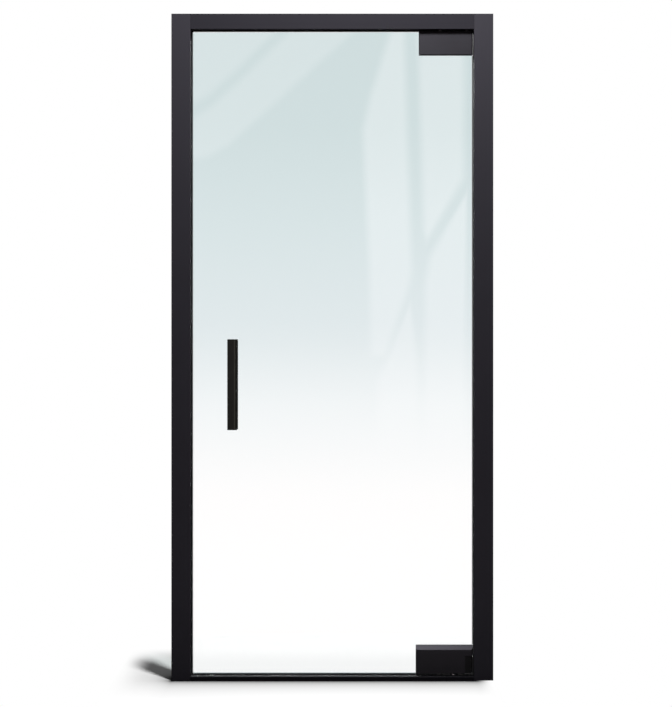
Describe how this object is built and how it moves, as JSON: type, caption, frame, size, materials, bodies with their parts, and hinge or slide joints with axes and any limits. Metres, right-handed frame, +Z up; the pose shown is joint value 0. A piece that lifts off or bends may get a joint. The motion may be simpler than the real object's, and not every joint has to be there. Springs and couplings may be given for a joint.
{
  "type": "glass door with frame",
  "caption": "Black aluminium door frame with a clear glass leaf on corner patch pivots, a self-closing bottom patch and black bar pulls on both faces.",
  "frame": {"origin": "on the floor in the middle of the frame's width and depth", "axes": "+Z up, +X towards the hinge jamb, -Y towards the side the picture shows"},
  "size_m": [1.05, 0.138, 2.175],
  "materials": {
    "frame_black": "satin",
    "cover_black": "satin",
    "patch_dark": "matte",
    "pull_black": "satin",
    "glass": "polished",
    "seal_black": "matte",
    "plastic_black": "matte",
    "steel_black": "matte",
    "steel": "satin",
    "bronze": "satin"
  },
  "bodies": {
    "frame": {"strike_jamb": "frame_black", "hinge_jamb": "frame_black", "header": "frame_black", "threshold": "frame_black", "corner_screws": "steel", "threshold_screws": "steel", "strike_seal": "seal_black", "hinge_seal": "seal_black", "header_seal": "seal_black", "threshold_seal": "seal_black", "fixing_caps": "plastic_black", "pivot_base": "steel_black", "pinion_spindle": "steel", "thrust_ring": "plastic_black", "pivot_housing": "patch_dark", "pivot_screws": "steel", "pin_lock_screw": "steel"},
    "leaf": {"top_front_cover": "cover_black", "top_rear_cover": "cover_black", "bottom_front_cover": "cover_black", "bottom_rear_cover": "cover_black", "top_body": "patch_dark", "top_clamp": "patch_dark", "closer_body": "patch_dark", "bottom_clamp": "patch_dark", "front_pull": "pull_black", "rear_pull": "pull_black", "glass_pane": "glass", "top_front_gasket": "seal_black", "top_rear_gasket": "seal_black", "bottom_front_gasket": "seal_black", "bottom_rear_gasket": "seal_black", "pull_ferrules": "plastic_black", "speed_valves": "steel_black", "top_clamp_screws": "steel", "bottom_clamp_screws": "steel", "hinge_side_spring": "steel", "strike_side_spring": "steel", "end_plug": "steel", "pull_studs": "steel", "pull_grub_screws": "steel", "top_bush": "bronze", "lower_bush": "bronze", "upper_bush": "bronze"},
    "top_pin": {"pivot_pin": "steel"},
    "rack": {"rack_piston": "steel"}
  },
  "joints": [
    {"name": "leaf_swing", "type": "hinge", "parent": "frame", "child": "leaf", "pos_m": [0.397, 0, 0.02], "axis": [0, 0, 1], "range_deg": [-90, 90], "stiffness_Nm_per_rad": 14},
    {"name": "rack_slide", "type": "slide", "parent": "leaf", "child": "rack", "axis": [1, 0, 0], "range_m": [-0.00943, 0.00943], "deforming": ["hinge_side_spring", "strike_side_spring"]},
    {"name": "top_pin_lift", "type": "slide", "parent": "frame", "child": "top_pin", "axis": [0, 0, 1], "range_m": [0, 0.02]}
  ],
  "couplings": [
    {"joint": "rack_slide", "follows": "leaf_swing", "m_per_rad": 0.006}
  ]
}
